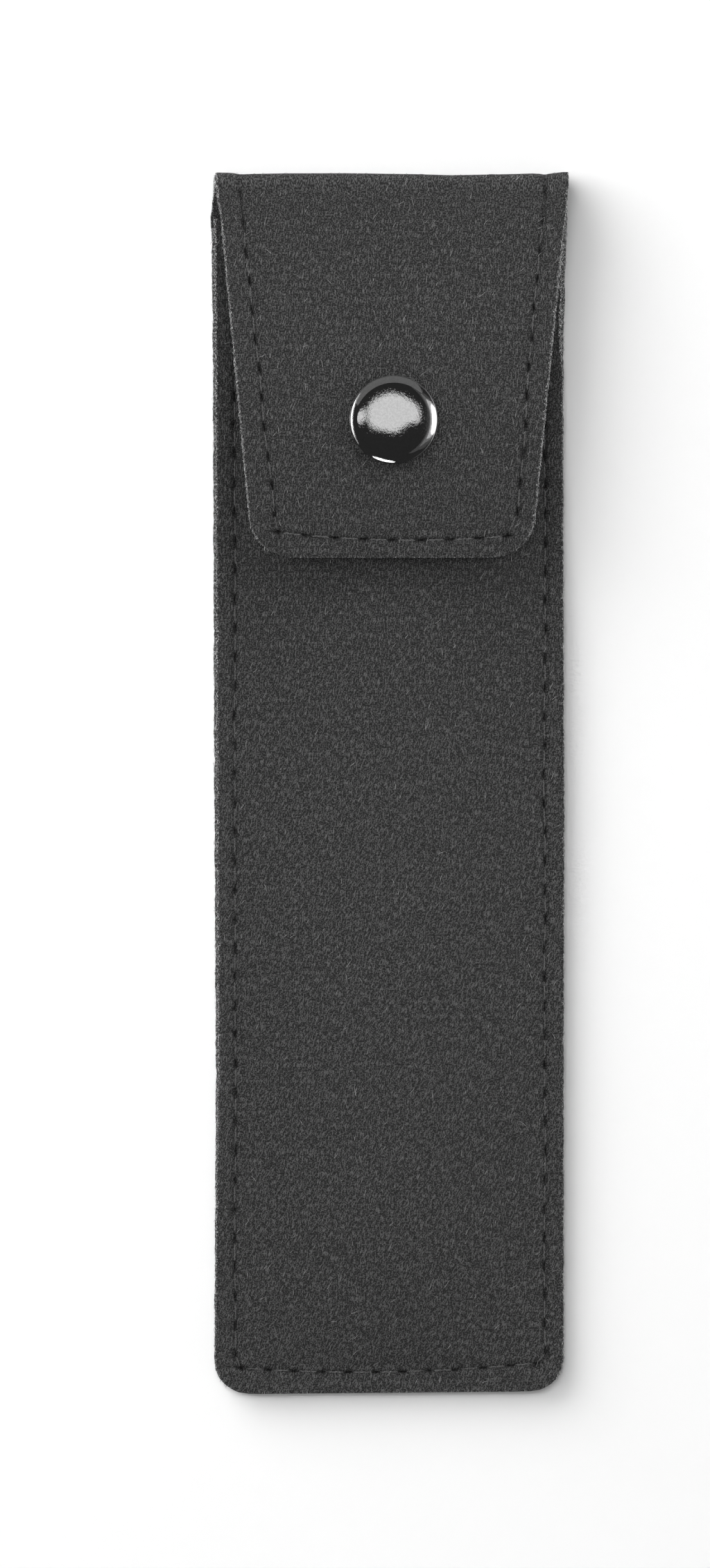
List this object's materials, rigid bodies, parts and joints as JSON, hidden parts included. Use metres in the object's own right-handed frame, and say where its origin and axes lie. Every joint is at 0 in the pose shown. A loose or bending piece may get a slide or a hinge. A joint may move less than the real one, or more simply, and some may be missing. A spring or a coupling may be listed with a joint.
{
  "type": "felt pencil case",
  "caption": "Slim stitched felt pouch for pencils, with a fold-over flap held shut by a domed press snap.",
  "frame": {"origin": "middle of the outline, on the table: the case lies on its back", "axes": "+X across the case, +Y along it towards the fold, +Z out of the front"},
  "size_m": [0.0496, 0.1722, 0.0159],
  "materials": {
    "felt": "matt pressed felt with short loose fibres",
    "thread": "matt sewing thread",
    "snap_enamel": "gloss black",
    "snap_steel": "plain plated"
  },
  "bodies": {
    "pocket": {"back_panel": "felt", "front_panel": "felt", "snap_stud": "snap_steel", "snap_eyelet": "snap_steel", "seam_thread_front": "thread", "seam_thread_back": "thread"},
    "fold": {"fold_strip": "felt"},
    "flap": {"flap_panel": "felt", "snap_cap": "snap_enamel", "snap_cap_post": "snap_steel", "snap_socket": "snap_steel", "snap_spring": "snap_steel", "flap_thread_outer": "thread", "flap_thread_inner": "thread"}
  },
  "joints": [
    {"name": "fold_lower_hinge", "type": "hinge", "parent": "pocket", "child": "fold", "pos_m": [0, 0.0851, 0.001], "axis": [-1, 0, 0], "range_deg": [0, 90]},
    {"name": "fold_upper_hinge", "type": "hinge", "parent": "fold", "child": "flap", "pos_m": [0, 0.0851, 0.0108], "axis": [-1, 0, 0], "range_deg": [0, 90]}
  ],
  "couplings": [
    {"joint": "fold_upper_hinge", "follows": "fold_lower_hinge", "ratio": 1}
  ]
}
